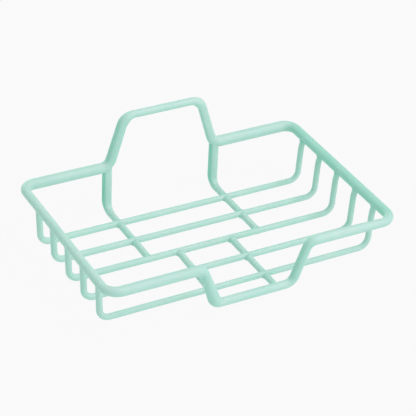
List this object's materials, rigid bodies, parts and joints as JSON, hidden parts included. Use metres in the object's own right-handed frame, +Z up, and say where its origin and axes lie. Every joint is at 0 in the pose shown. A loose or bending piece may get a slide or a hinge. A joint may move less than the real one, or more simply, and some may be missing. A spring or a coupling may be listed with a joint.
{
  "type": "wire soap basket",
  "caption": "Shallow wall soap basket of coated wire, with a rounded rim, a raised hanging loop at the back, a dipped front and bent base wires.",
  "frame": {"origin": "centre of the bounding box at the underside of the cross wires", "axes": "+X along the basket, to the right when it is seen from the front; +Y towards the wall; +Z up"},
  "size_m": [0.1446, 0.0966, 0.0521],
  "materials": {
    "mint_coat": "satin plastic coat over steel wire"
  },
  "bodies": {
    "root": {"rim_frame": "mint_coat", "long_wire_1": "mint_coat", "long_wire_2": "mint_coat", "long_wire_3": "mint_coat", "long_wire_4": "mint_coat", "long_wire_5": "mint_coat", "rear_upright_left": "mint_coat", "rear_upright_right": "mint_coat", "rear_cross_left": "mint_coat", "rear_cross_right": "mint_coat", "front_cross_left": "mint_coat", "front_cross_right": "mint_coat"}
  },
  "joints": []
}
